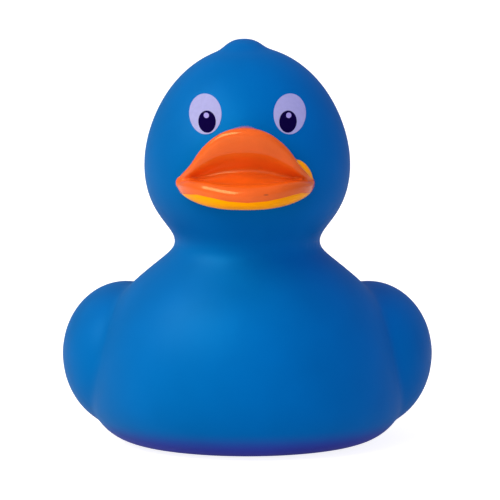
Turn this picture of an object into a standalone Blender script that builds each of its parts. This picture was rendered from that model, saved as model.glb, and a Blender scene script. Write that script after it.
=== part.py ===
"""A rubber duck: one hollow soft-vinyl skin with a squeaker pressed into its base.

The skin is moulded in one piece, so body, head, bill, wings, tail and tuft are one solid with a 2 mm wall.
The duck looks along -Y, +Z is up, and the origin is the middle of the base.
"""

import math

import bmesh
import bpy
from mathutils import Matrix, Vector

MM = 0.001

# Driving dimensions, in millimetres unless a line says otherwise.
WALL = 2.0
TRUNK_SEGMENTS = 20
CAVITY_SEGMENTS = 12
LIMB_SEGMENTS = 12

# The trunk runs from the base to the crown. Each row is one level section:
# height, half width, reach to the front, reach to the back.
TRUNK = [
    (0.0, 0.0, 0.0, 0.0),
    (0.0, 13.0, 14.0, 14.0),
    (0.0, 21.4, 22.6, 22.6),
    (1.2, 26.0, 27.4, 27.4),
    (4.5, 29.8, 31.2, 31.0),
    (9.0, 31.2, 33.0, 32.3),
    (14.0, 30.6, 33.6, 32.3),
    (19.5, 29.4, 33.2, 31.0),
    (25.0, 27.2, 31.4, 28.0),
    (29.5, 24.2, 28.8, 23.0),
    (33.0, 20.4, 25.8, 17.0),
    (36.2, 16.5, 23.0, 11.5),
    (38.8, 13.4, 21.6, 8.4),
    (41.4, 14.4, 22.6, 7.8),
    (44.6, 17.2, 25.2, 9.4),
    (48.6, 19.2, 27.4, 11.4),
    (53.6, 20.0, 28.4, 12.2),
    (58.8, 19.4, 27.9, 12.0),
    (63.6, 17.9, 26.4, 10.9),
    (68.2, 15.5, 24.0, 8.6),
    (72.2, 12.2, 20.6, 5.2),
    (75.2, 8.0, 16.2, 0.8),
    (76.6, 4.0, 12.0, -3.8),
    (77.0, 0.0, 8.0, -8.0),
]

# The wing runs from the shoulder to its tip at the back: distance back, distance out, height,
# half thickness, half height.
WING = [
    (-11.5, 21.0, 14.6, 0.0, 0.0),
    (-10.6, 21.8, 14.8, 7.2, 8.8),
    (-5.0, 23.0, 15.3, 11.4, 12.9),
    (4.0, 24.0, 16.1, 13.0, 14.6),
    (11.5, 24.0, 17.0, 12.3, 13.5),
    (19.0, 23.4, 18.4, 9.8, 11.0),
    (25.5, 22.8, 20.6, 6.6, 7.6),
    (30.0, 22.4, 23.0, 3.4, 3.8),
    (31.2, 22.4, 23.8, 0.0, 0.0),
]

# The tail runs from inside the body to its tip: distance back, height, half width, half thickness.
TAIL = [
    (4.0, 14.0, 0.0, 0.0),
    (7.0, 15.0, 18.6, 14.0),
    (15.0, 17.4, 19.0, 14.4),
    (22.5, 21.0, 17.4, 12.2),
    (28.5, 25.6, 14.0, 8.8),
    (32.8, 30.6, 10.0, 5.6),
    (35.1, 35.0, 6.4, 3.2),
    (35.8, 37.8, 3.4, 1.8),
    (36.0, 38.8, 0.0, 0.0),
]

# The tuft is a low curl on the crown: height, half width, half length, distance to the front.
TUFT = [
    (70.0, 0.0, 0.0, 8.5),
    (71.0, 4.9, 5.8, 8.5),
    (74.8, 5.2, 6.0, 8.3),
    (77.0, 4.2, 4.8, 7.4),
    (78.1, 2.3, 2.6, 6.4),
    (78.3, 0.0, 0.0, 6.0),
]
TUFT_OFFSET = -0.6

# The bill is an open beak. Each row is one line across it, from corner to corner of the mouth. The
# rows go from inside the brow over the upper edge, down the palate to the crease, out along the
# floor, round the lip and back under the chin. A row is its reach to the front at the middle, then
# its height there and at each fifth of the quarter turn to the corner.
BILL_LINES = [
    (21.5, 62.3, 60.8, 58.0, 54.6, 52.9),
    (26.5, 63.0, 61.5, 58.9, 55.1, 53.0),
    (31.0, 63.1, 62.2, 59.5, 55.5, 53.1),
    (32.5, 62.8, 62.1, 59.4, 55.4, 53.1),
    (33.0, 62.0, 61.4, 58.7, 54.9, 52.95),
    (32.4, 60.2, 59.6, 57.3, 54.4, 52.85),
    (30.6, 57.4, 57.1, 55.7, 53.7, 52.7),
    (28.9, 55.0, 54.8, 54.1, 52.9, 52.5),
    (31.2, 53.8, 53.7, 53.4, 52.8, 52.6),
    (34.2, 52.6, 52.65, 52.9, 53.0, 52.75),
    (36.6, 51.4, 51.65, 52.4, 53.0, 52.95),
    (38.0, 50.2, 50.35, 50.9, 51.7, 52.4),
    (36.9, 48.7, 48.8, 49.3, 50.2, 51.5),
    (33.5, 48.0, 48.1, 48.7, 49.7, 51.2),
    (28.0, 47.9, 48.0, 48.5, 49.5, 51.1),
    (21.5, 48.6, 48.7, 49.2, 50.2, 51.6),
]
BILL_CORNER = (22.6, 52.6)
BILL_HALF_WIDTH = 12.8
BILL_OFFSET = 0.2
BILL_STATIONS = 15
BILL_TURN = math.radians(1.7)  # about the head's upright axis, towards the duck's right
HEAD_AXIS_TO_FRONT = 8.0

# The squeaker and its seat in the base.
SEAT_BOSS_RADIUS = 10.5
SEAT_BOSS_TOP = 5.0
SEAT_RECESS_RADIUS = 8.0
SEAT_RECESS_DEPTH = 1.6
SEAT_HOLE_RADIUS = 5.5
FIT_GAP = 0.3
CASE_FLANGE_THICKNESS = 1.0
CASE_TOP = 12.0
CASE_BORE_RADIUS = 3.8
CASE_FLOOR_TOP = 2.6
AIR_HOLES = 3
AIR_HOLE_RADIUS = 0.6
AIR_HOLE_CIRCLE_RADIUS = 1.8
HOLDER_HEIGHT = 8.0
REED_WIDTH = 4.6
REED_THICKNESS = 0.35
REED_RISE = 1.2
AIR_GROOVE_RADIUS = 1.4
ROUND_SIDES = 32

VINYL = ("blue_vinyl", (0.0, 0.16, 0.46, 1.0), 0.42)
CASE_PLASTIC = ("white_plastic", (0.82, 0.82, 0.80, 1.0), 0.4)
REED_FILM = ("reed_film", (0.70, 0.72, 0.72, 1.0), 0.3)


def finish(name, colour, roughness):
    """A Principled material of one colour."""
    material = bpy.data.materials.new(name)
    material.use_nodes = True
    shader = material.node_tree.nodes["Principled BSDF"]
    shader.inputs["Base Color"].default_value = colour
    shader.inputs["Roughness"].default_value = roughness
    shader.inputs["Metallic"].default_value = 0.0
    return material


def new_object(name, shape, collection):
    """An object in the collection from a bmesh, which is freed."""
    mesh = bpy.data.meshes.new(name)
    shape.to_mesh(mesh)
    shape.free()
    mesh.shade_smooth()
    item = bpy.data.objects.new(name, mesh)
    collection.objects.link(item)
    return item


def lofted(name, collection, rows, segments, place):
    """A sphere whose rings are moved to unlike sections.

    place(row, turn) gives a point in millimetres: row counts the rings from one pole to the other,
    and turn is the share of the way round.
    """
    shape = bmesh.new()
    bmesh.ops.create_uvsphere(shape, u_segments=segments, v_segments=rows - 1, radius=1.0)
    for vertex in shape.verts:
        row = round(math.acos(max(-1.0, min(1.0, -vertex.co.z))) / math.pi * (rows - 1))
        turn = math.atan2(vertex.co.y, vertex.co.x) / math.tau % 1.0
        vertex.co = Vector(place(row, turn)) * MM
    if shape.calc_volume(signed=True) < 0:
        bmesh.ops.reverse_faces(shape, faces=shape.faces)
    return new_object(name, shape, collection)


def trunk(name, collection, segments):
    """Body, neck and head in one form."""

    def place(row, turn):
        height, half_width, front, back = TRUNK[row]
        across = half_width * math.cos(turn * math.tau)
        along = (front + back) / 2 * math.sin(turn * math.tau) + (back - front) / 2
        return across, along, height

    return lofted(name, collection, len(TRUNK), segments, place)


def wing(name, collection, rows, side):
    """A rounded wing lobe whose tip stands off the body at the back; side is 1 or -1 along X."""

    def place(row, turn):
        back, out, height, thickness, half_height = rows[row]
        across = side * (out + thickness * math.cos(turn * math.tau))
        return across, back, height + half_height * math.sin(turn * math.tau)

    return lofted(name, collection, len(rows), LIMB_SEGMENTS, place)


def tail(name, collection, rows):
    """The upturned tail, with each section square to its own centre line."""

    def place(row, turn):
        back, height, half_width, thickness = rows[row]
        before = rows[max(row - 1, 0)]
        after = rows[min(row + 1, len(rows) - 1)]
        run = Vector((after[0] - before[0], after[1] - before[1])).normalized()
        lift = thickness * math.sin(turn * math.tau)
        across = half_width * math.cos(turn * math.tau)
        return across, back - run.y * lift, height + run.x * lift

    return lofted(name, collection, len(rows), LIMB_SEGMENTS, place)


def hollow_rows(rows):
    """The rows thick enough to be hollow, drawn in by the wall, with a point added at each end.

    Each row ends with its two half sizes. A tip thinner than this stays solid.
    """
    inner = [
        (*row[:-2], row[-2] - WALL, row[-1] - WALL)
        for row in rows
        if min(row[-2:]) > 2 * WALL
    ]
    return [(*inner[0][:-2], 0.0, 0.0), *inner, (*inner[-1][:-2], 0.0, 0.0)]


def tuft(name, collection):
    """The small curl on the crown."""

    def place(row, turn):
        height, half_width, half_length, front = TUFT[row]
        across = TUFT_OFFSET + half_width * math.cos(turn * math.tau)
        return across, half_length * math.sin(turn * math.tau) - front, height

    return lofted(name, collection, len(TUFT), LIMB_SEGMENTS, place)


def line_height(heights, turn):
    """The height of a line across the bill at a turn from the middle, on a smooth curve."""
    points = [*heights, BILL_CORNER[1]]
    place = min(abs(turn) / (math.pi / 2), 1.0) * (len(points) - 1)
    index = min(int(place), len(points) - 2)
    share = place - index
    start, end = points[index], points[index + 1]
    before = points[abs(index - 1)]
    after = points[index + 2] if index + 2 < len(points) else 2 * end - start
    bend = (3 * start - 3 * end + after - before) * share**3
    bend += (2 * before - 5 * start + 4 * end - after) * share**2
    return start + 0.5 * (bend + (end - before) * share)


def bill(name, collection):
    """The open beak, lofted from corner to corner of the mouth."""
    corner_front = BILL_CORNER[0]
    turned = Matrix.Rotation(-BILL_TURN, 3, "Z")

    def place(row, turn):
        reach, *heights = BILL_LINES[round(turn * len(BILL_LINES)) % len(BILL_LINES)]
        out = (row / (BILL_STATIONS - 1) - 0.5) * math.pi
        forward = corner_front + (reach - corner_front) * math.cos(out)
        across = BILL_HALF_WIDTH * math.sin(out)
        point = Vector((across, HEAD_AXIS_TO_FRONT - forward, line_height(heights, out)))
        point = turned @ point
        return point.x + BILL_OFFSET, point.y - HEAD_AXIS_TO_FRONT, point.z

    return lofted(name, collection, BILL_STATIONS, len(BILL_LINES), place)


def rounded(item, levels):
    """Gives the item a Subdivision Surface, the same in the viewport and in a render."""
    smooth = item.modifiers.new("rounded", "SUBSURF")
    smooth.levels = levels
    smooth.render_levels = levels


def thinned(item, distance):
    """Draws the item's surface in along its normals, in millimetres, to leave a wall outside it."""
    inset = item.modifiers.new("wall", "DISPLACE")
    inset.mid_level = 0.0
    inset.strength = -distance * MM


def combine(item, other, operation):
    """Joins or cuts the item by another one."""
    join = item.modifiers.new(other.name, "BOOLEAN")
    join.operation = operation
    join.object = other


def round_bar(name, collection, radius, bottom, top, across=0.0, along=0.0):
    """An upright round bar between two heights, in millimetres, across and along from the origin."""
    shape = bmesh.new()
    bmesh.ops.create_cone(
        shape,
        cap_ends=True,
        segments=ROUND_SIDES,
        radius1=radius * MM,
        radius2=radius * MM,
        depth=(top - bottom) * MM,
        matrix=Matrix.Translation((across * MM, along * MM, (top + bottom) / 2 * MM)),
    )
    item = new_object(name, shape, collection)
    item.data.set_sharp_from_angle(angle=math.radians(30))
    return item


def box(name, collection, low, high):
    """A box between two corners, in millimetres."""
    shape = bmesh.new()
    size = [(b - a) * MM for a, b in zip(low, high)]
    middle = [(a + b) / 2 * MM for a, b in zip(low, high)]
    place = Matrix.Translation(middle) @ Matrix.Diagonal((*size, 1))
    bmesh.ops.create_cube(shape, size=1.0, matrix=place)
    item = new_object(name, shape, collection)
    item.data.shade_flat()
    return item


def hide(items):
    """Marks helpers, which are shown as wires and never rendered."""
    for item in items:
        item.hide_render = True
        item.display_type = "WIRE"


def make_skin(parts, helpers):
    """The hollow moulded skin, with the seat for the squeaker through its base."""
    skin = trunk("duck_skin", parts, TRUNK_SEGMENTS)
    rounded(skin, 1)
    forms = [
        wing("left_wing_form", helpers, WING, 1),
        wing("right_wing_form", helpers, WING, -1),
        tail("tail_form", helpers, TAIL),
        tuft("tuft_form", helpers),
        bill("bill_form", helpers),
    ]
    for form in forms:
        rounded(form, 1)
        combine(skin, form, "UNION")

    cavity = trunk("cavity", helpers, CAVITY_SEGMENTS)
    rounded(cavity, 1)
    thinned(cavity, WALL)
    hollows = [
        wing("left_wing_hollow", helpers, hollow_rows(WING), 1),
        wing("right_wing_hollow", helpers, hollow_rows(WING), -1),
        tail("tail_hollow", helpers, hollow_rows(TAIL)),
    ]
    for hollow in hollows:
        combine(cavity, hollow, "UNION")
    boss = round_bar("seat_boss", helpers, SEAT_BOSS_RADIUS, -1.0, SEAT_BOSS_TOP)
    combine(cavity, boss, "DIFFERENCE")
    recess = round_bar("seat_recess", helpers, SEAT_RECESS_RADIUS, -1.0, SEAT_RECESS_DEPTH)
    hole = round_bar("seat_hole", helpers, SEAT_HOLE_RADIUS, -1.0, SEAT_BOSS_TOP + 1.0)
    for cutter in (cavity, recess, hole):
        combine(skin, cutter, "DIFFERENCE")
    hide([*forms, cavity, *hollows, boss, recess, hole])
    skin.data.materials.append(finish(*VINYL))


def make_case(parts, helpers):
    """The squeaker's moulded case: a flange in the recess and a barrel up through the hole."""
    case = round_bar("squeaker_case", parts, SEAT_HOLE_RADIUS - FIT_GAP, FIT_GAP, CASE_TOP)
    flange_top = SEAT_RECESS_DEPTH - FIT_GAP
    flange = round_bar(
        "case_flange",
        helpers,
        SEAT_RECESS_RADIUS - FIT_GAP,
        flange_top - CASE_FLANGE_THICKNESS,
        flange_top,
    )
    bore = round_bar("case_bore", helpers, CASE_BORE_RADIUS, CASE_FLOOR_TOP, CASE_TOP + 1.0)
    air_holes = []
    for number in range(AIR_HOLES):
        angle = math.tau * number / AIR_HOLES - math.pi / 2
        across = AIR_HOLE_CIRCLE_RADIUS * math.cos(angle)
        along = AIR_HOLE_CIRCLE_RADIUS * math.sin(angle)
        name = f"case_air_hole_{number + 1}"
        air_holes.append(round_bar(name, helpers, AIR_HOLE_RADIUS, -1.0, CASE_TOP, across, along))
    combine(case, flange, "UNION")
    for cutter in (bore, *air_holes):
        combine(case, cutter, "DIFFERENCE")
    hide([flange, bore, *air_holes])
    case.data.materials.append(finish(*CASE_PLASTIC))
    return case


def make_reed(parts, helpers):
    """The half-round holder inside the barrel, and the reed that lies over its air groove."""
    bottom = CASE_FLOOR_TOP + FIT_GAP
    top = bottom + HOLDER_HEIGHT
    radius = CASE_BORE_RADIUS - FIT_GAP
    holder = round_bar("reed_holder", parts, radius, bottom, top)
    front_half = box(
        "holder_front", helpers, (-radius - 1, -radius - 1, bottom - 1), (radius + 1, 0, top + 1)
    )
    groove = round_bar("air_groove", helpers, AIR_GROOVE_RADIUS, bottom - 1, top + 1)
    combine(holder, front_half, "DIFFERENCE")
    combine(holder, groove, "DIFFERENCE")
    hide([front_half, groove])
    holder.data.materials.append(finish(*CASE_PLASTIC))
    reed = box(
        "reed",
        parts,
        (-REED_WIDTH / 2, -FIT_GAP - REED_THICKNESS, bottom + REED_RISE),
        (REED_WIDTH / 2, -FIT_GAP, top),
    )
    reed.data.materials.append(finish(*REED_FILM))


def main():
    for item in list(bpy.data.objects):
        bpy.data.objects.remove(item)
    parts = bpy.data.collections.new("rubber_duck")
    helpers = bpy.data.collections.new("helpers")
    bpy.context.scene.collection.children.link(parts)
    bpy.context.scene.collection.children.link(helpers)
    make_skin(parts, helpers)
    make_case(parts, helpers)
    make_reed(parts, helpers)


main()
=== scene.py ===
"""A blue rubber duck as it looks: satin moulded skin, sprayed bill, printed eyes and a squeaker below.

The tables give a duck of DUCK_HEIGHT in millimetres, and MM turns them into the frame's metres.
The duck looks along -Y. Its right-hand side is at -X.
"""

import math

import bpy
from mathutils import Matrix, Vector


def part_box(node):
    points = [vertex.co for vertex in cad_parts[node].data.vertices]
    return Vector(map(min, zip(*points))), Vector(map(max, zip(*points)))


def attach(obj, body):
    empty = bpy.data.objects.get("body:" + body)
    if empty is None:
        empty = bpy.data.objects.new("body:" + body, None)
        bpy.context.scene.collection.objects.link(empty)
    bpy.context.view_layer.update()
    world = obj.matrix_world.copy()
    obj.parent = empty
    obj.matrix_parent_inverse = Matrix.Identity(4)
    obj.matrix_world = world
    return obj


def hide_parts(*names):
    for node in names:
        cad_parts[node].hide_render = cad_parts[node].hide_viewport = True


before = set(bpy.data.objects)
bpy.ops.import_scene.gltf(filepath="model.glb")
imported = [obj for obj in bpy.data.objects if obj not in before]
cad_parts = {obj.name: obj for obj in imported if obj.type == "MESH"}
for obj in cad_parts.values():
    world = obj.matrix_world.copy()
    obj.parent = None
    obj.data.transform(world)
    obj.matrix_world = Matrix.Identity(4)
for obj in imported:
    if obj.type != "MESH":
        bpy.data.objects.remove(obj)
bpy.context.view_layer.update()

DUCK_HEIGHT = 78.25
skin_low, skin_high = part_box("duck_skin")
MM = (skin_high.z - skin_low.z) / DUCK_HEIGHT

# Camera, as the photograph was taken. The two pixel values are where the duck's middle
# plane and the height AIM_HEIGHT fall in a picture of PHOTO_SIZE pixels a side.
PHOTO_SIZE = 500
MIDDLE_PLANE_X_PIXEL = 247.3
AIM_HEIGHT_Y_PIXEL = 245.2
PIXELS_PER_MM = 5.176
AIM_HEIGHT = 38.0
CAMERA_DISTANCE = 800.0
CAMERA_ELEVATION = math.radians(6.0)
SENSOR_WIDTH = 36.0

# Moulded skin.
WALL = 2.0
TRUNK_SIDES = 32
LIMB_SIDES = 20
SKIN_GRAIN = 0.61
SKIN_SMOOTHING = 20

# Height, half width, reach to the front, reach to the back.
TRUNK = [
    (0.0, 3.0, 3.0, 3.0),
    (0.0, 14.0, 15.0, 15.0),
    (0.0, 21.2, 22.4, 22.4),
    (1.0, 25.8, 27.2, 27.2),
    (4.5, 29.7, 31.2, 31.0),
    (9.0, 31.1, 33.0, 32.3),
    (14.0, 30.4, 33.6, 32.3),
    (19.5, 29.2, 33.2, 31.0),
    (25.0, 27.0, 31.4, 28.0),
    (29.5, 24.0, 28.8, 23.0),
    (33.0, 20.3, 25.8, 17.0),
    (36.2, 16.4, 23.0, 11.5),
    (38.8, 13.3, 21.6, 8.4),
    (41.4, 14.3, 22.6, 7.8),
    (44.6, 17.1, 25.2, 9.4),
    (48.6, 19.2, 27.4, 11.4),
    (53.6, 20.05, 28.4, 12.2),
    (58.8, 19.55, 27.9, 12.0),
    (63.6, 18.0, 26.4, 10.9),
    (68.2, 15.6, 24.0, 8.6),
    (72.2, 12.2, 20.6, 5.2),
    (75.2, 8.0, 16.2, 0.8),
    (76.6, 4.0, 12.0, -3.8),
    (77.0, 1.0, 9.0, -7.0),
]

# Distance back, distance out, height, half thickness, half height.
WING = [
    (-11.5, 21.0, 14.6, 1.0, 1.0),
    (-10.9, 21.7, 14.8, 6.8, 8.4),
    (-5.0, 23.0, 15.3, 11.3, 12.8),
    (4.0, 24.0, 16.1, 12.65, 14.3),
    (11.5, 24.0, 17.0, 12.0, 13.2),
    (19.0, 23.4, 18.4, 9.5, 10.7),
    (25.5, 22.8, 20.6, 6.4, 7.4),
    (30.0, 22.4, 23.0, 3.4, 3.8),
    (31.2, 22.4, 23.8, 1.0, 1.0),
]

# Distance back, distance out, height, half width, half thickness.
TAIL = [
    (4.0, 0.0, 14.0, 6.0, 6.0),
    (7.0, 0.0, 15.0, 18.0, 13.0),
    (15.0, 0.0, 16.4, 18.6, 14.4),
    (22.5, 0.0, 20.0, 17.0, 13.4),
    (28.5, 0.0, 24.6, 13.8, 10.8),
    (32.8, 0.0, 29.6, 9.6, 8.0),
    (35.6, 0.0, 34.0, 6.0, 5.0),
    (36.8, 0.0, 36.4, 3.2, 2.6),
    (37.2, 0.0, 37.2, 1.0, 1.0),
]

# Height, half width, reach to the front, reach to the back.
TUFT = [
    (70.0, 3.0, 12.0, -5.0),
    (71.0, 4.8, 14.4, -2.8),
    (74.8, 5.1, 14.4, -2.4),
    (77.0, 4.2, 12.2, -2.6),
    (78.1, 2.3, 9.0, -3.8),
    (78.35, 0.8, 7.2, -5.2),
]
TUFT_OFFSET = -0.6

# The bill is an open beak. Each row is one line across it, from corner to corner of the mouth. The
# rows go from inside the brow over the upper edge, down the palate to the crease, out along the
# floor, round the lip and back under the chin. A row is its reach to the front at the middle, then
# its height there and at each fifth of the quarter turn to the corner.
BILL_LINES = [
    (21.5, 62.3, 60.8, 58.0, 54.6, 53.1),
    (26.5, 63.0, 61.5, 58.9, 55.2, 53.3),
    (31.0, 63.1, 62.2, 59.5, 55.6, 53.55),
    (32.4, 62.8, 62.15, 59.45, 55.5, 53.55),
    (32.9, 62.1, 61.5, 58.8, 55.1, 53.4),
    (32.85, 61.0, 60.4, 57.9, 54.65, 53.2),
    (32.4, 59.3, 58.8, 56.7, 54.1, 53.0),
    (31.6, 57.8, 57.4, 55.7, 53.8, 52.85),
    (30.0, 56.4, 56.0, 54.7, 53.35, 52.65),
    (28.9, 55.3, 55.0, 53.95, 53.1, 52.5),
    (29.1, 54.4, 54.15, 53.4, 52.95, 52.45),
    (31.0, 53.6, 53.5, 53.2, 53.0, 52.5),
    (33.4, 52.9, 52.95, 53.1, 53.05, 52.55),
    (34.9, 52.6, 52.75, 53.0, 53.0, 52.5),
    (36.0, 52.05, 52.25, 52.65, 52.75, 52.3),
    (36.6, 51.1, 51.3, 51.8, 52.2, 51.95),
    (36.5, 49.9, 50.1, 50.7, 51.3, 51.5),
    (35.9, 48.8, 48.95, 49.6, 50.4, 51.1),
    (34.0, 48.05, 48.15, 48.7, 49.65, 50.75),
    (28.0, 47.9, 48.0, 48.5, 49.4, 50.65),
    (21.5, 48.6, 48.7, 49.2, 50.1, 51.1),
]
BILL_CORNER = (22.6, 52.3)
BILL_HALF_WIDTH = 12.9
BILL_OFFSET = 0.2
BILL_TURN = math.radians(1.7)
BILL_STATIONS = 80
BILL_POINTS = 120
BILL_GRAIN = 0.28
BILL_SMOOTHING = 6
HEAD_AXIS_TO_FRONT = 8.0

# Lobes close the mouth's corners, and a cheek stands out behind the upper edge on the duck's left.
# Each row is its place across, along and up, its half sizes, and its tilt in degrees.
CORNER_LOBES = [
    (-11.2, -24.5, 52.3, 2.2, 2.4, 1.6, 0.0),
    (-10.2, -25.4, 53.0, 2.2, 1.6, 1.0, 0.0),
    (10.8, -24.4, 52.2, 1.8, 2.2, 1.5, 0.0),
    (9.6, -24.7, 54.3, 3.4, 2.0, 2.0, 48.0),
]
LOBE_SEGMENTS = 40
LOBE_RINGS = 24

# Paint. The orange coat ends along this line under the lip: distance across, height.
PAINT_EDGE = [
    (-16.0, 50.0),
    (-11.6, 50.55),
    (-9.3, 50.8),
    (-6.6, 50.4),
    (-3.6, 49.85),
    (0.0, 49.6),
    (3.6, 49.85),
    (6.4, 50.3),
    (8.6, 50.75),
    (10.2, 50.95),
    (11.6, 50.6),
    (16.0, 50.0),
]
PAINT_REACH = (50.0, 15.0)
PAINT_TOP = 30.0
# It also misses the flanks, outside the upper edge as seen from the front: distance across and
# height where the bare flank starts, then at the mouth's corner, and its reach to the front.
BARE_FLANKS = [
    ((9.1, 56.7), (12.3, 52.9), 30.0),
    ((-9.0, 57.4), (-12.3, 53.0), 25.4),
]
COAT = (0.012, 0.055)
# A scuff in the coat: its place across, along and up, and its half sizes.
SCUFF = (3.5, -36.2, 51.05, 0.5, 3.0, 0.16)

# Eyes, printed in three passes: distance from the face's middle, height of the widest line, half
# width, height above that line, height below it, the film's lower and upper side, and the ink.
EYES_MIDDLE = 0.06
EYE_BLOCK_REACH = (40.0, 10.0)
EYE_PRINTS = [
    ("eye_whites", 7.9, 65.2, 3.04, 3.56, 3.78, (0.01, 0.05), "999bcd"),
    ("pupils", 7.56, 63.75, 1.64, 1.98, 2.02, (0.055, 0.08), "0c0436"),
    ("catchlights", 7.7, 64.86, 0.5, 0.5, 0.5, (0.085, 0.11), "958ecf"),
]

# Squeaker seat in the base.
SEAT_BOSS_RADIUS = 10.5
SEAT_BOSS_TOP = 5.0
SEAT_RECESS_RADIUS = 8.0
SEAT_RECESS_DEPTH = 1.6
SEAT_HOLE_RADIUS = 5.5

# Squeaker case: a flange in the recess, a barrel up through the hole, and air holes in its floor.
FIT_GAP = 0.3
FLANGE_THICKNESS = 1.0
DISH_RADIUS = 6.4
DISH_DEPTH = 0.25
CASE_TOP = 12.0
CASE_BORE_RADIUS = 3.8
CASE_FLOOR_TOP = 2.6
AIR_HOLES = 3
AIR_HOLE_RADIUS = 0.6
AIR_HOLE_CIRCLE_RADIUS = 1.8
CASE_EDGE = 0.12
ROUND_SIDES = 96

# Cutters run this far past the faces that they cut.
CUT_MARGIN = 1.0

# Edges sharper than this stay sharp, and on the squeaker they are rounded.
CREASE_ANGLE = math.radians(35)

# The floor's radius in metres, and how far it lies below the base, so that the two don't flicker.
FLOOR_RADIUS = 6.0
FLOOR_SIDES = 64
FLOOR_GAP = 0.02

# A long softbox, high on the left of the picture. Its place, width and height are in metres.
KEY_LIGHT = {"place": (-1.2, -0.95, 1.35), "size": (2.2, 1.1), "colour": "fff8c0"}

# The room's brightest side, and the violet tone of its light. Its blue is above 1.
WHITE_WALL = (-0.35, -0.9, 0.25)
ROOM_TONE = (1.0, 0.92, 1.35, 1.0)


def deselect():
    bpy.ops.object.select_all(action="DESELECT")


def choose(item):
    """Makes the item the only selected one, and the active one."""
    deselect()
    item.select_set(True)
    bpy.context.view_layer.objects.active = item


def settle(item):
    """Puts the item's place, turn and size into its mesh."""
    choose(item)
    bpy.ops.object.transform_apply(location=True, rotation=True, scale=True)


def modify(item, kind, **settings):
    """Adds a modifier with its settings and applies it."""
    choose(item)
    modifier = item.modifiers.new(kind.lower(), kind)
    for name, value in settings.items():
        setattr(modifier, name, value)
    bpy.ops.object.modifier_apply(modifier=modifier.name)


def grown(name, sides, rings, standing):
    """A closed form grown from a disc: each ring is extruded from the last, moved and resized.

    A ring is its centre and its two half sizes in millimetres. A standing ring faces along Y and
    has its half sizes along X and Z; a lying one faces up and has them along X and Y.
    """
    deselect()
    reached, widths = rings[0][0], (1.0, 1.0)
    bpy.ops.mesh.primitive_circle_add(
        vertices=sides,
        radius=MM,
        fill_type="TRIFAN",
        location=Vector(reached) * MM,
        rotation=(math.pi / 2 if standing else 0.0, 0.0, 0.0),
    )
    item = bpy.context.object
    item.name = name
    settle(item)
    bpy.ops.object.mode_set(mode="EDIT")
    bpy.ops.mesh.select_all(action="SELECT")
    for number, (centre, sizes) in enumerate(rings):
        if number > 0:
            move = Vector(centre) - Vector(reached)
            bpy.ops.mesh.extrude_region_move(TRANSFORM_OT_translate={"value": move * MM})
        across, along = sizes[0] / widths[0], sizes[1] / widths[1]
        value = (across, 1.0, along) if standing else (across, along, 1.0)
        bpy.ops.transform.resize(value=value, center_override=Vector(centre) * MM)
        reached, widths = centre, sizes
    bpy.ops.mesh.select_all(action="SELECT")
    bpy.ops.mesh.normals_make_consistent(inside=False)
    bpy.ops.object.mode_set(mode="OBJECT")
    return item


def lying_rings(rows, offset=0.0):
    """Rings for rows of height, half width, reach to the front and reach to the back."""
    rings = []
    for height, half_width, front, back in rows:
        centre = (offset, (back - front) / 2, height)
        rings.append((centre, (half_width, (front + back) / 2)))
    return rings


def standing_rings(rows):
    """Rings for rows of distance back, distance out, height and two half sizes."""
    return [((out, back, height), (half_x, half_z)) for back, out, height, half_x, half_z in rows]


def hollow_rows(rows):
    """The rows thick enough to be hollow, drawn in by the wall. Each ends with its two half sizes."""
    return [
        (*row[:-2], row[-2] - WALL, row[-1] - WALL)
        for row in rows
        if min(row[-2:]) > 2 * WALL
    ]


def rounded(item, levels=2):
    modify(item, "SUBSURF", levels=levels, render_levels=levels)
    return item


def mirrored(item, name):
    """A copy of the item on the duck's other side."""
    choose(item)
    bpy.ops.object.duplicate()
    twin = bpy.context.object
    twin.name = name
    bpy.ops.object.mode_set(mode="EDIT")
    bpy.ops.mesh.select_all(action="SELECT")
    bpy.ops.transform.resize(value=(-1.0, 1.0, 1.0), center_override=(0.0, 0.0, 0.0))
    bpy.ops.mesh.normals_make_consistent(inside=False)
    bpy.ops.object.mode_set(mode="OBJECT")
    return twin


def fused(items, grain, smoothing):
    """Melts overlapping closed forms into one even skin and softens the valleys between them."""
    choose(items[0])
    for item in items[1:]:
        item.select_set(True)
    bpy.ops.object.join()
    melted = bpy.context.object
    modify(melted, "REMESH", mode="VOXEL", voxel_size=grain * MM)
    modify(melted, "SMOOTH", factor=0.5, iterations=smoothing)
    return melted


def combine(item, other, operation):
    """Joins or cuts the item by another one, which is used up and passes its material on."""
    settings = {"operation": operation, "solver": "EXACT", "material_mode": "TRANSFER"}
    modify(item, "BOOLEAN", object=other, **settings)
    bpy.data.objects.remove(other)


def round_bar(name, radius, bottom, top, across=0.0, along=0.0):
    """An upright round bar between two heights, in millimetres, across and along from the origin."""
    deselect()
    bpy.ops.mesh.primitive_cylinder_add(
        vertices=ROUND_SIDES,
        radius=radius * MM,
        depth=(top - bottom) * MM,
        location=Vector((across, along, (top + bottom) / 2)) * MM,
    )
    item = bpy.context.object
    item.name = name
    settle(item)
    return item


def outer_form():
    """Body, head, wings, tail and tuft, melted into one."""
    trunk = rounded(grown("duck", TRUNK_SIDES, lying_rings(TRUNK), standing=False))
    wing = rounded(grown("left_wing", LIMB_SIDES, standing_rings(WING), standing=True))
    other_wing = mirrored(wing, "right_wing")
    tail = rounded(grown("tail", LIMB_SIDES, standing_rings(TAIL), standing=True))
    tuft = rounded(grown("tuft", LIMB_SIDES, lying_rings(TUFT, TUFT_OFFSET), standing=False))
    return fused([trunk, wing, other_wing, tail, tuft], SKIN_GRAIN, SKIN_SMOOTHING)


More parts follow.
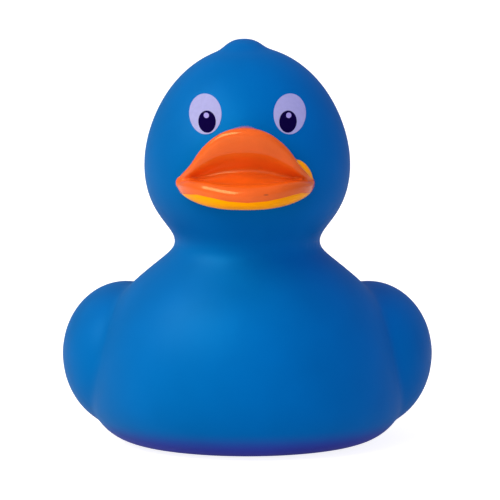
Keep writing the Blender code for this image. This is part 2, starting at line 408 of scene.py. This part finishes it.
def hollow_form():
    """The air space inside: the same forms, thinner by the wall, around the squeaker's boss."""
    hollow = rounded(grown("hollow", LIMB_SIDES, lying_rings(TRUNK), standing=False))
    modify(hollow, "DISPLACE", mid_level=0.0, strength=-WALL * MM)
    wing = grown("wing_hollow", LIMB_SIDES, standing_rings(hollow_rows(WING)), standing=True)
    other_wing = mirrored(wing, "other_wing_hollow")
    tail = grown("tail_hollow", LIMB_SIDES, standing_rings(hollow_rows(TAIL)), standing=True)
    for limb in (wing, other_wing, tail):
        combine(hollow, limb, "UNION")
    boss = round_bar("seat_boss", SEAT_BOSS_RADIUS, -CUT_MARGIN, SEAT_BOSS_TOP)
    combine(hollow, boss, "DIFFERENCE")
    return hollow


def line_height(heights, out):
    """The height of a line across the bill at a turn from the middle, on a smooth curve.

    Before its first point the curve bends as if mirrored, and past its last it runs straight on.
    """
    points = [*heights, BILL_CORNER[1]]
    place = min(abs(out) / (math.pi / 2), 1.0) * (len(points) - 1)
    index = min(int(place), len(points) - 2)
    return smooth_between(
        points[abs(index - 1)],
        points[index],
        points[index + 1],
        points[index + 2] if index + 2 < len(points) else 2 * points[-1] - points[-2],
        place - index,
    )


def smooth_between(before, start, end, after, share):
    """A value between start and end on a curve that also bends with its neighbours."""
    bend = (3 * start - 3 * end + after - before) * share**3
    bend += (2 * before - 5 * start + 4 * end - after) * share**2
    return start + 0.5 * (bend + (end - before) * share)


def bill_point(out, place):
    """A point of the bill in millimetres, at a turn from the middle and a place among its lines."""
    index = math.floor(place)
    lines = [BILL_LINES[(index + step) % len(BILL_LINES)] for step in (-1, 0, 1, 2)]
    reach = smooth_between(*(line[0] for line in lines), place - index)
    height = smooth_between(*(line_height(line[1:], out) for line in lines), place - index)
    corner_front = BILL_CORNER[0]
    forward = corner_front + (reach - corner_front) * math.cos(out)
    return Vector((BILL_HALF_WIDTH * math.sin(out), HEAD_AXIS_TO_FRONT - forward, height))


def lobe(centre, sizes, tilt):
    """An oval ball, tipped down towards +X by a tilt in degrees. Its measures are millimetres."""
    deselect()
    bpy.ops.mesh.primitive_uv_sphere_add(
        segments=LOBE_SEGMENTS, ring_count=LOBE_RINGS, radius=MM, location=Vector(centre) * MM
    )
    item = bpy.context.object
    item.name = "lobe"
    item.scale = sizes
    item.rotation_euler = (0.0, math.radians(tilt), 0.0)
    settle(item)
    return item


def bill_form():
    """The open beak with its corner lobes.

    Its sections are unlike, so the rings of a sphere are moved to them.
    """
    deselect()
    bpy.ops.mesh.primitive_uv_sphere_add(segments=BILL_POINTS, ring_count=BILL_STATIONS, radius=1.0)
    bill = bpy.context.object
    bill.name = "bill"
    for vertex in bill.data.vertices:
        out = math.asin(max(-1.0, min(1.0, vertex.co.z)))
        place = math.atan2(vertex.co.y, vertex.co.x) / math.tau % 1.0 * len(BILL_LINES)
        vertex.co = bill_point(out, place) * MM
    choose(bill)
    bpy.ops.object.mode_set(mode="EDIT")
    bpy.ops.mesh.select_all(action="SELECT")
    bpy.ops.mesh.normals_make_consistent(inside=False)
    bpy.ops.object.mode_set(mode="OBJECT")
    bill.rotation_euler = (0.0, 0.0, -BILL_TURN)
    bill.location = Vector((BILL_OFFSET, -HEAD_AXIS_TO_FRONT, 0.0)) * MM
    settle(bill)
    lobes = [lobe(row[:3], row[3:6], row[6]) for row in CORNER_LOBES]
    return fused([bill, *lobes], BILL_GRAIN, BILL_SMOOTHING)


def copy_of(item, name, offset=0.0):
    """A copy of the item, with its surface moved out by an offset in millimetres."""
    choose(item)
    bpy.ops.object.duplicate()
    twin = bpy.context.object
    twin.name = name
    if offset:
        modify(twin, "DISPLACE", mid_level=0.0, strength=offset * MM)
    return twin


def film(name, carrier, outline, sides):
    """A thin layer of ink or paint on the carrier's surface.

    The outline block is used up. The sides are the layer's lower and upper one, from the surface.
    """
    low, high = sides
    layer = copy_of(carrier, name, high)
    combine(layer, outline, "INTERSECT")
    combine(layer, copy_of(carrier, "under_" + name, low), "DIFFERENCE")
    layer.data.materials.clear()
    return layer


def paint_block():
    """The room that the orange coat may fill: a tall section drawn along the paint's lower edge."""
    deselect()
    front, back = PAINT_REACH
    (across, height), *others = PAINT_EDGE
    bpy.ops.mesh.primitive_plane_add(
        size=MM,
        location=Vector((across, -(front + back) / 2, height + PAINT_TOP / 2)) * MM,
        rotation=(0.0, math.pi / 2, 0.0),
    )
    block = bpy.context.object
    block.name = "paint_block"
    block.scale = (PAINT_TOP, front - back, 1.0)
    settle(block)
    bpy.ops.object.mode_set(mode="EDIT")
    bpy.ops.mesh.select_all(action="SELECT")
    for next_across, next_height in others:
        step = Vector((next_across - across, 0.0, next_height - height)) * MM
        bpy.ops.mesh.extrude_region_move(TRANSFORM_OT_translate={"value": step})
        across, height = next_across, next_height
    bpy.ops.mesh.select_all(action="SELECT")
    bpy.ops.mesh.normals_make_consistent(inside=False)
    bpy.ops.object.mode_set(mode="OBJECT")
    return block


def bare_block(start, corner, reach):
    """The room outside one end of the bill's upper edge, which the orange coat misses."""
    deselect()
    run = Vector(corner) - Vector(start)
    outward = Vector((-run.y, run.x)).normalized() * (1 if start[0] > 0 else -1)
    across, up = (Vector(start) + Vector(corner)) / 2 + outward * PAINT_TOP / 2
    bpy.ops.mesh.primitive_cube_add(size=MM)
    block = bpy.context.object
    block.name = "bare_block"
    block.scale = (run.length, PAINT_TOP, PAINT_TOP)
    block.location = Vector((across, PAINT_TOP / 2 - reach, up)) * MM
    block.rotation_euler = (0.0, -math.atan2(run.y, run.x), 0.0)
    settle(block)
    return block


def select_vertices(item, test):
    """Selects the vertices whose place passes the test, and leaves the item in edit mode."""
    bpy.ops.object.mode_set(mode="EDIT")
    bpy.ops.mesh.select_all(action="DESELECT")
    bpy.ops.object.mode_set(mode="OBJECT")
    for vertex in item.data.vertices:
        vertex.select = test(vertex.co)
    bpy.ops.object.mode_set(mode="EDIT")


def egg_block(side, out, height, half_width, above, below):
    """An egg-shaped bar through the face: two half ovals that meet on their widest line."""
    deselect()
    front, back = EYE_BLOCK_REACH
    bpy.ops.mesh.primitive_cylinder_add(
        vertices=ROUND_SIDES, radius=1.0, depth=front - back, rotation=(math.pi / 2, 0.0, 0.0)
    )
    block = bpy.context.object
    block.name = "egg_block"
    settle(block)
    halves = (
        (above, lambda place: place.z > 0.0),
        (below, lambda place: place.z <= 0.0),
    )
    for size, test in halves:
        select_vertices(block, test)
        bpy.ops.transform.resize(value=(1.0, 1.0, size), center_override=(0.0, 0.0, 0.0))
        bpy.ops.object.mode_set(mode="OBJECT")
    block.scale = (half_width * MM, MM, MM)
    block.location = Vector((EYES_MIDDLE + side * out, -(front + back) / 2, height)) * MM
    settle(block)
    return block


def linear(hex_colour):
    """Linear red, green, blue and alpha of an sRGB colour written as rrggbb."""
    values = []
    for start in (0, 2, 4):
        value = int(hex_colour[start : start + 2], 16) / 255
        values.append(value / 12.92 if value <= 0.04045 else ((value + 0.055) / 1.055) ** 2.4)
    return (*values, 1.0)


def new_material(name):
    """An empty node material and its tree."""
    material = bpy.data.materials.new(name)
    material.use_nodes = True
    material.node_tree.nodes.clear()
    return material, material.node_tree


def add(tree, kind, inputs=None, **settings):
    """Adds a node with its settings. An input is a value, a node or one of a node's outputs."""
    made = tree.nodes.new(kind)
    for name, value in settings.items():
        setattr(made, name, value)
    for key, value in (inputs or {}).items():
        if isinstance(value, bpy.types.Node):
            value = value.outputs[0]
        if isinstance(value, bpy.types.NodeSocket):
            tree.links.new(value, made.inputs[key])
        else:
            made.inputs[key].default_value = value
    return made


def uneven(tree, place, colour, patch, amount):
    """The colour with soft lighter and darker patches, as pigment that isn't quite evenly mixed.

    A patch is its size in millimetres, and the amount is the share by which the colour may change.
    """
    patches = add(
        tree, "ShaderNodeTexNoise", {"Vector": place, "Scale": 1 / (patch * MM), "Detail": 2.0}
    )
    strength = add(
        tree,
        "ShaderNodeMapRange",
        {
            "Value": patches,
            "From Min": 0.3,
            "From Max": 0.7,
            "To Min": 1.0 - amount,
            "To Max": 1.0 + amount,
        },
    )
    return add(tree, "ShaderNodeVectorMath", {0: colour, "Scale": strength}, operation="SCALE")


def moulded_blue_pvc():
    """Soft PVC cast in a warm mould: an even satin with a faint orange peel, so highlights are broad.

    Its folds are painted violet as painted shade, mixed in where ambient occlusion finds other
    surfaces close by. The IOR is set well below the 1.53 of PVC, because the photographed skin
    hardly reflects at its edges.
    """
    material, tree = new_material("moulded_blue_pvc")
    place = add(tree, "ShaderNodeTexCoord").outputs["Object"]
    # Painted shade: where ambient occlusion finds the surface hemmed in, the blue is mixed towards
    # violet.
    painted_fold_shade = add(tree, "ShaderNodeAmbientOcclusion", {"Distance": 10 * MM}, samples=12)
    unshaded_share = add(
        tree,
        "ShaderNodeMapRange",
        {"Value": painted_fold_shade.outputs["AO"], "From Min": 0.1, "From Max": 0.65},
        interpolation_type="SMOOTHSTEP",
    )
    # Painted shade: violet 2c3098 in the folds, and the blue 005fa8 elsewhere.
    colour = add(
        tree,
        "ShaderNodeMix",
        {"Factor": unshaded_share, 6: linear("2c3098"), 7: linear("005fa8")},
        data_type="RGBA",
    )
    pigment = uneven(tree, place, colour.outputs[2], 14.0, 0.05)
    peel = add(
        tree,
        "ShaderNodeTexNoise",
        {"Vector": place, "Scale": 1 / (1.1 * MM), "Detail": 3.0, "Roughness": 0.6},
    )
    bump = add(
        tree, "ShaderNodeBump", {"Height": peel, "Strength": 0.15, "Distance": 0.05 * MM}
    )
    shader = add(
        tree,
        "ShaderNodeBsdfPrincipled",
        {
            "Base Color": pigment,
            "Normal": bump,
            "Metallic": 0.02,
            "Roughness": 0.46,
            "IOR": 1.1,
            "Specular Tint": linear("40b0ff"),
        },
    )
    add(tree, "ShaderNodeOutputMaterial", {"Surface": shader})
    return material


def scuffed(tree, place, colour):
    """The colour with a short dark scuff on the lip, in line with it."""
    middle, half_sizes = Vector(SCUFF[:3]), Vector(SCUFF[3:])
    offset = add(
        tree, "ShaderNodeVectorMath", {0: place, 1: middle * MM}, operation="SUBTRACT"
    )
    scaled = add(
        tree, "ShaderNodeVectorMath", {0: offset, 1: half_sizes * MM}, operation="DIVIDE"
    )
    reach = add(tree, "ShaderNodeVectorMath", {0: scaled}, operation="LENGTH").outputs["Value"]
    share = add(
        tree,
        "ShaderNodeMapRange",
        {"Value": reach, "From Min": 0.5, "From Max": 1.2, "To Min": 1.0, "To Max": 0.0},
    )
    return add(
        tree,
        "ShaderNodeMix",
        {"Factor": share, 6: colour, 7: linear("a04418")},
        data_type="RGBA",
    ).outputs[2]


def sprayed_enamel(name, colour, sheen, roughness, ior, scuff=False):
    """Glossy enamel sprayed in one coat: a smooth film with long soft waves, so reflections are sharp.

    The pigment floats to the top of it and tints what it reflects, and it is a little uneven. An
    IOR below the 1.5 of enamel keeps a coat's edges from turning pale.
    """
    material, tree = new_material(name)
    place = add(tree, "ShaderNodeTexCoord").outputs["Object"]
    waves = add(
        tree, "ShaderNodeTexNoise", {"Vector": place, "Scale": 1 / (2.2 * MM), "Detail": 1.0}
    )
    bump = add(
        tree, "ShaderNodeBump", {"Height": waves, "Strength": 0.12, "Distance": 0.04 * MM}
    )
    pigment = uneven(tree, place, linear(colour)[:3], 5.0, 0.06).outputs[0]
    if scuff:
        pigment = scuffed(tree, place, pigment)
    shader = add(
        tree,
        "ShaderNodeBsdfPrincipled",
        {
            "Base Color": pigment,
            "Normal": bump,
            "Roughness": roughness,
            "IOR": ior,
            "Specular Tint": linear(sheen),
        },
    )
    add(tree, "ShaderNodeOutputMaterial", {"Surface": shader})
    return material


def printed_ink(name, colour):
    """Pad-printing ink: a thin even film, drier and flatter in its shine than the vinyl under it."""
    material, tree = new_material(name)
    place = add(tree, "ShaderNodeTexCoord").outputs["Object"]
    shader = add(
        tree,
        "ShaderNodeBsdfPrincipled",
        {
            "Base Color": uneven(tree, place, linear(colour)[:3], 0.8, 0.03),
            "Roughness": 0.6,
            "Specular IOR Level": 0.0,
        },
    )
    add(tree, "ShaderNodeOutputMaterial", {"Surface": shader})
    return material


def moulded_white_plastic():
    """Polypropylene from a spark-eroded mould: a fine even grain, so it is matt with a faint sheen.

    The real grain is a tenth of a millimetre and wouldn't show, so it is drawn three times as coarse.
    """
    material, tree = new_material("moulded_white_plastic")
    place = add(tree, "ShaderNodeTexCoord").outputs["Object"]
    flow = add(tree, "ShaderNodeTexNoise", {"Vector": place, "Scale": 1 / (6 * MM), "Detail": 2.0})
    colour = add(
        tree,
        "ShaderNodeMix",
        {"Factor": flow, 6: linear("dededa"), 7: linear("f0f0ec")},
        data_type="RGBA",
    )
    grain = add(tree, "ShaderNodeTexNoise", {"Vector": place, "Scale": 1 / (0.3 * MM), "Detail": 1.0})
    bump = add(
        tree, "ShaderNodeBump", {"Height": grain, "Strength": 0.3, "Distance": 0.02 * MM}
    )
    shader = add(
        tree,
        "ShaderNodeBsdfPrincipled",
        {"Base Color": colour.outputs[2], "Normal": bump, "Roughness": 0.45, "IOR": 1.49},
    )
    add(tree, "ShaderNodeOutputMaterial", {"Surface": shader})
    return material


def drawn_polyester_film():
    """Clear polyester film slit into strips: draw lines run up it, so it glints in fine streaks."""
    material, tree = new_material("drawn_polyester_film")
    place = add(tree, "ShaderNodeTexCoord").outputs["Object"]
    drawn = add(tree, "ShaderNodeMapping", {"Vector": place, "Scale": (1.0, 1.0, 0.04)})
    lines = add(tree, "ShaderNodeTexNoise", {"Vector": drawn, "Scale": 1 / (0.3 * MM), "Detail": 2.0})
    bump = add(
        tree, "ShaderNodeBump", {"Height": lines, "Strength": 0.25, "Distance": 0.01 * MM}
    )
    streaks = add(tree, "ShaderNodeMapRange", {"Value": lines, "To Min": 0.12, "To Max": 0.34})
    shader = add(
        tree,
        "ShaderNodeBsdfPrincipled",
        {
            "Base Color": linear("d8dcdc"),
            "Normal": bump,
            "Roughness": streaks,
            "IOR": 1.58,
            "Transmission Weight": 0.4,
        },
    )
    add(tree, "ShaderNodeOutputMaterial", {"Surface": shader})
    return material


def dress(item, material):
    item.data.materials.clear()
    item.data.materials.append(material)


def carry(piece):
    """Smooths the piece's shading and lets it ride on the duck."""
    choose(piece)
    bpy.ops.object.shade_smooth_by_angle(angle=CREASE_ANGLE)
    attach(piece, "root")


def make_coat(bill, skin):
    """The orange coat on the bill, over the yellow one."""
    block = paint_block()
    for flank in BARE_FLANKS:
        combine(block, bare_block(*flank), "DIFFERENCE")
    coat = film("orange_coat", bill, block, COAT)
    combine(coat, copy_of(skin, "skin_under_coat"), "DIFFERENCE")
    enamel = sprayed_enamel("sprayed_orange_enamel", "dc5a14", "fff0d0", 0.1, 1.5, scuff=True)
    dress(coat, enamel)
    carry(coat)


def make_eyes(skin):
    """Both eyes, each print pass a film of its own."""
    for name, *egg_sizes, sides, ink in EYE_PRINTS:
        egg = egg_block(-1, *egg_sizes)
        combine(egg, egg_block(1, *egg_sizes), "UNION")
        eyes = film(name, skin, egg, sides)
        dress(eyes, printed_ink("printed_ink_" + name, ink))
        carry(eyes)


def make_skin():
    """The whole skin: outer form, bill, air space and squeaker seat, with its prints and paint."""
    skin = outer_form()
    make_eyes(skin)
    bill = bill_form()
    make_coat(bill, skin)
    dress(skin, moulded_blue_pvc())
    dress(bill, sprayed_enamel("sprayed_yellow_enamel", "ffa200", "ffb820", 0.3, 1.2))
    combine(skin, bill, "UNION")
    combine(skin, hollow_form(), "DIFFERENCE")
    recess = round_bar("seat_recess", SEAT_RECESS_RADIUS, -CUT_MARGIN, SEAT_RECESS_DEPTH)
    combine(skin, recess, "DIFFERENCE")
    hole = round_bar("seat_hole", SEAT_HOLE_RADIUS, -CUT_MARGIN, SEAT_BOSS_TOP + CUT_MARGIN)
    combine(skin, hole, "DIFFERENCE")
    skin.name = "duck"
    carry(skin)
    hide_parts("duck_skin")


def make_squeaker():
    """The sound unit: its case with rounded edges and a dished flange, and its parts inside."""
    plastic = moulded_white_plastic()
    flange_top = SEAT_RECESS_DEPTH - FIT_GAP
    flange_bottom = flange_top - FLANGE_THICKNESS
    case = round_bar("case", SEAT_HOLE_RADIUS - FIT_GAP, flange_bottom, CASE_TOP)
    flange = round_bar("flange", SEAT_RECESS_RADIUS - FIT_GAP, flange_bottom, flange_top)
    combine(case, flange, "UNION")
    cutters = [
        round_bar("dish", DISH_RADIUS, -CUT_MARGIN, flange_bottom + DISH_DEPTH),
        round_bar("bore", CASE_BORE_RADIUS, CASE_FLOOR_TOP, CASE_TOP + CUT_MARGIN),
    ]
    for number in range(AIR_HOLES):
        angle = math.tau * number / AIR_HOLES - math.pi / 2
        place = (AIR_HOLE_CIRCLE_RADIUS * math.cos(angle), AIR_HOLE_CIRCLE_RADIUS * math.sin(angle))
        cutters.append(round_bar("air_hole", AIR_HOLE_RADIUS, -CUT_MARGIN, CASE_TOP, *place))
    for cutter in cutters:
        combine(case, cutter, "DIFFERENCE")
    modify(case, "BEVEL", width=CASE_EDGE * MM, segments=3, angle_limit=CREASE_ANGLE)
    case.name = "squeaker"
    dress(case, plastic)
    carry(case)
    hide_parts("squeaker_case")
    for node, material in (("reed_holder", plastic), ("reed", drawn_polyester_film())):
        for slot in bpy.data.objects[node].material_slots:
            slot.material = material


def make_stage():
    """A pale table lit from inside, so that shadows on it stay light. It throws little light back.

    It is clear from below, so that the duck's base can be looked at.
    """
    deselect()
    bpy.ops.mesh.primitive_circle_add(
        vertices=FLOOR_SIDES,
        radius=FLOOR_RADIUS,
        fill_type="NGON",
        location=(0.0, 0.0, -FLOOR_GAP * MM),
    )
    floor = bpy.context.object
    floor.name = "studio_floor"
    material, tree = new_material("light_table_acrylic")
    camera_ray = add(tree, "ShaderNodeLightPath").outputs["Is Camera Ray"]
    glow = add(tree, "ShaderNodeMapRange", {"Value": camera_ray, "To Min": 0.35, "To Max": 0.88})
    shader = add(
        tree,
        "ShaderNodeBsdfPrincipled",
        {
            "Base Color": linear("a8a8a8"),
            "Roughness": 0.8,
            "Emission Color": linear("ffffff"),
            "Emission Strength": glow,
        },
    )
    underside = add(tree, "ShaderNodeNewGeometry").outputs["Backfacing"]
    clear = add(tree, "ShaderNodeBsdfTransparent")
    one_sided = add(tree, "ShaderNodeMixShader", {0: underside, 1: shader, 2: clear})
    add(tree, "ShaderNodeOutputMaterial", {"Surface": one_sided})
    dress(floor, material)


def soft_light(name, place, size, energy, colour, lights_matt=True):
    """An area light aimed at the duck's middle. Its place, width and height are in metres.

    Unless it lights matt surfaces too, it only shows in reflections.
    """
    light = bpy.data.lights.new(name, "AREA")
    light.shape = "RECTANGLE"
    light.size, light.size_y = size
    light.energy = energy
    light.color = linear(colour)[:3]
    item = bpy.data.objects.new(name, light)
    item.location = place
    item.visible_diffuse = lights_matt
    aim = Vector((0.0, 0.0, AIM_HEIGHT * MM)) - Vector(place)
    item.rotation_euler = aim.to_track_quat("-Z", "Y").to_euler()
    bpy.context.scene.collection.objects.link(item)


def make_lights():
    """A warm softbox that is brighter in reflections, and a cool room whose white wall is in front."""
    soft_light("key_softbox", energy=37.0, **KEY_LIGHT)
    soft_light("key_reflection", energy=210.0, lights_matt=False, **KEY_LIGHT)
    world = bpy.data.worlds.new("pale_room")
    world.use_nodes = True
    tree = world.node_tree
    tree.nodes.clear()
    direction = add(tree, "ShaderNodeTexCoord").outputs["Generated"]
    wall = add(
        tree,
        "ShaderNodeVectorMath",
        {0: direction, 1: WHITE_WALL},
        operation="DOT_PRODUCT",
    )
    brightness = add(
        tree,
        "ShaderNodeMapRange",
        {
            "Value": wall.outputs["Value"],
            "From Min": -0.2,
            "From Max": 1.0,
            "To Min": 0.44,
            "To Max": 0.88,
        },
        interpolation_type="SMOOTHSTEP",
    )
    rays = add(tree, "ShaderNodeLightPath")
    tone = add(
        tree,
        "ShaderNodeMix",
        {"Factor": rays.outputs["Is Glossy Ray"], 6: ROOM_TONE, 7: linear("e0e0e0")},
        data_type="RGBA",
    )
    room = add(
        tree, "ShaderNodeBackground", {"Color": tone.outputs[2], "Strength": brightness}
    )
    seen = add(tree, "ShaderNodeBackground", {"Color": linear("ffffff"), "Strength": 1.0})
    mixed = add(
        tree, "ShaderNodeMixShader", {0: rays.outputs["Is Camera Ray"], 1: room, 2: seen}
    )
    add(tree, "ShaderNodeOutputWorld", {"Surface": mixed})
    bpy.context.scene.world = world
    bpy.context.scene.view_settings.view_transform = "Standard"


def make_camera():
    """The photograph's view: a long lens, a little above the duck."""
    camera = bpy.data.cameras.new("camera")
    camera.sensor_width = SENSOR_WIDTH
    view_width = PHOTO_SIZE / PIXELS_PER_MM
    camera.lens = SENSOR_WIDTH * CAMERA_DISTANCE / view_width
    across = (PHOTO_SIZE / 2 - MIDDLE_PLANE_X_PIXEL) / PIXELS_PER_MM
    down = (PHOTO_SIZE / 2 - AIM_HEIGHT_Y_PIXEL) / PIXELS_PER_MM
    back = Vector((0.0, -math.cos(CAMERA_ELEVATION), math.sin(CAMERA_ELEVATION)))
    up = Vector((0.0, math.sin(CAMERA_ELEVATION), math.cos(CAMERA_ELEVATION)))
    aim = Vector((across, 0.0, AIM_HEIGHT)) - up * down
    item = bpy.data.objects.new("camera", camera)
    item.location = (aim + back * CAMERA_DISTANCE) * MM
    item.rotation_euler = (math.pi / 2 - CAMERA_ELEVATION, 0.0, 0.0)
    bpy.context.scene.collection.objects.link(item)
    bpy.context.scene.camera = item


make_camera()
make_skin()
make_squeaker()
make_stage()
make_lights()
